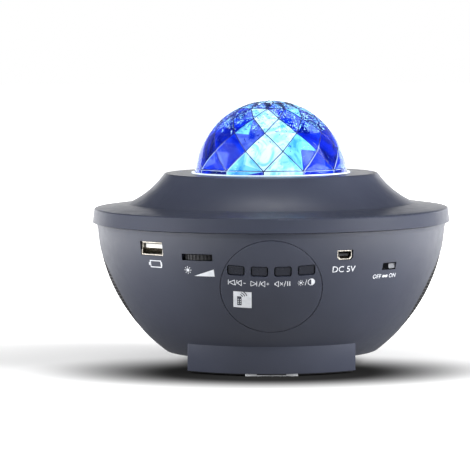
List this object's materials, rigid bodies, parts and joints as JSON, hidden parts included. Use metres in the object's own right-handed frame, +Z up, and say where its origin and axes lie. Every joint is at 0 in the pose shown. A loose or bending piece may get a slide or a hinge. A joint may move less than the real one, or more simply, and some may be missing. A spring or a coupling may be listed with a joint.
{
  "type": "star night light projector",
  "caption": "Round tabletop star projector: flared bowl housing with speaker grilles, round button panel, side sockets and a faceted blue dome.",
  "frame": {"origin": "on the resting plane under the middle of the foot", "axes": "+Z up through the dome, -Y out of the control panel, +X to the right of someone who looks at the panel"},
  "size_m": [0.1682, 0.1682, 0.1239],
  "materials": {
    "housing_plastic": "fine satin dark slate grey moulding",
    "button_plastic": "satin dark slate grey caps",
    "dome_acrylic": "clear acrylic, faceted inside, lit blue and white",
    "clear_plastic": "clear moulded plastic",
    "inner_plastic": "black moulding",
    "gear_plastic": "natural white acetal",
    "screw_steel": "zinc plated",
    "sink_aluminium": "extruded",
    "board_green": "glass fibre board with green mask",
    "lamp_chip": "lamp chips under clear resin",
    "motor_steel": "plated can",
    "laser_brass": "turned barrel",
    "grating_glass": "ruled film on a clear disc",
    "grille_mesh": "black woven mesh",
    "basket_steel": "black pressed steel",
    "cone_paper": "black pressed paper",
    "magnet_ferrite": "ferrite ring and plates",
    "black_plastic": "black moulding",
    "socket_steel": "plated sheet",
    "white_plastic": "white moulding",
    "mat_rubber": "thin black sheet",
    "pad_rubber": "pale grey pads"
  },
  "bodies": {
    "housing": {"lower_bowl": "housing_plastic", "upper_shell": "housing_plastic", "dome_lens": "dome_acrylic", "dome_light_ring": "clear_plastic", "dome_keeper_ring": "inner_plastic", "dome_screws": "screw_steel", "optics_deck": "inner_plastic", "deck_screws": "screw_steel", "led_heat_sink": "sink_aluminium", "led_board": "board_green", "led_chips": "lamp_chip", "led_collimator": "clear_plastic", "rotor_cradle": "inner_plastic", "gear_motor": "motor_steel", "motor_screws": "screw_steel", "laser_module": "laser_brass", "laser_holder": "inner_plastic", "laser_grating": "grating_glass", "left_speaker_grille": "grille_mesh", "left_speaker_frame": "basket_steel", "left_speaker_cone": "cone_paper", "left_speaker_magnet": "magnet_ferrite", "right_speaker_grille": "grille_mesh", "right_speaker_frame": "basket_steel", "right_speaker_cone": "cone_paper", "right_speaker_magnet": "magnet_ferrite", "speaker_screws": "screw_steel", "control_panel": "housing_plastic", "button_board": "board_green", "button_board_screws": "screw_steel", "button_switches": "black_plastic", "remote_receiver": "black_plastic", "usb_socket": "socket_steel", "usb_tongue": "white_plastic", "brightness_potentiometer": "black_plastic", "dc_socket": "socket_steel", "dc_tongue": "black_plastic", "power_switch_body": "black_plastic", "left_port_board": "board_green", "right_port_board": "board_green", "port_board_screws": "screw_steel", "main_board": "board_green", "main_board_screws": "screw_steel", "board_components": "black_plastic", "base_foot": "housing_plastic", "foot_screws": "screw_steel", "foot_mat": "mat_rubber", "foot_pads": "pad_rubber", "housing_screws": "screw_steel"},
    "button_previous": {"button_previous": "button_plastic"},
    "button_next": {"button_next": "button_plastic"},
    "button_play": {"button_play": "button_plastic"},
    "button_light": {"button_light": "button_plastic"},
    "thumbwheel": {"brightness_wheel": "black_plastic"},
    "power_slider": {"power_switch_slider": "black_plastic"},
    "ripple_rotor": {"ripple_gear": "gear_plastic", "ripple_lens": "clear_plastic"},
    "drive_pinion": {"motor_pinion": "gear_plastic", "motor_shaft": "screw_steel"}
  },
  "joints": [
    {"name": "button_previous_press", "type": "slide", "parent": "housing", "child": "button_previous", "axis": [0, 0.9318, 0.3631], "range_m": [0, 0.0006], "stiffness_N_per_m": 1000, "springref_m": -0.001},
    {"name": "button_next_press", "type": "slide", "parent": "housing", "child": "button_next", "axis": [0, 0.9318, 0.3631], "range_m": [0, 0.0006], "stiffness_N_per_m": 1000, "springref_m": -0.001},
    {"name": "button_play_press", "type": "slide", "parent": "housing", "child": "button_play", "axis": [0, 0.9318, 0.3631], "range_m": [0, 0.0006], "stiffness_N_per_m": 1000, "springref_m": -0.001},
    {"name": "button_light_press", "type": "slide", "parent": "housing", "child": "button_light", "axis": [0, 0.9318, 0.3631], "range_m": [0, 0.0006], "stiffness_N_per_m": 1000, "springref_m": -0.001},
    {"name": "brightness_turn", "type": "hinge", "parent": "housing", "child": "thumbwheel", "pos_m": [-0.0294, -0.0648, 0.0556], "axis": [0, 0, 1], "range_deg": [-135, 135]},
    {"name": "power_slide", "type": "slide", "parent": "housing", "child": "power_slider", "axis": [-0.7396, -0.673, 0], "range_m": [0, 0.004]},
    {"name": "ripple_spin", "type": "hinge", "parent": "housing", "child": "ripple_rotor", "pos_m": [0, 0, 0.0808], "axis": [0, 0, 1], "continuous": true},
    {"name": "pinion_spin", "type": "hinge", "parent": "housing", "child": "drive_pinion", "pos_m": [0, 0.038, 0.0808], "axis": [0, 0, 1], "continuous": true}
  ],
  "couplings": [
    {"joint": "pinion_spin", "follows": "ripple_spin", "ratio": -5.3333}
  ]
}
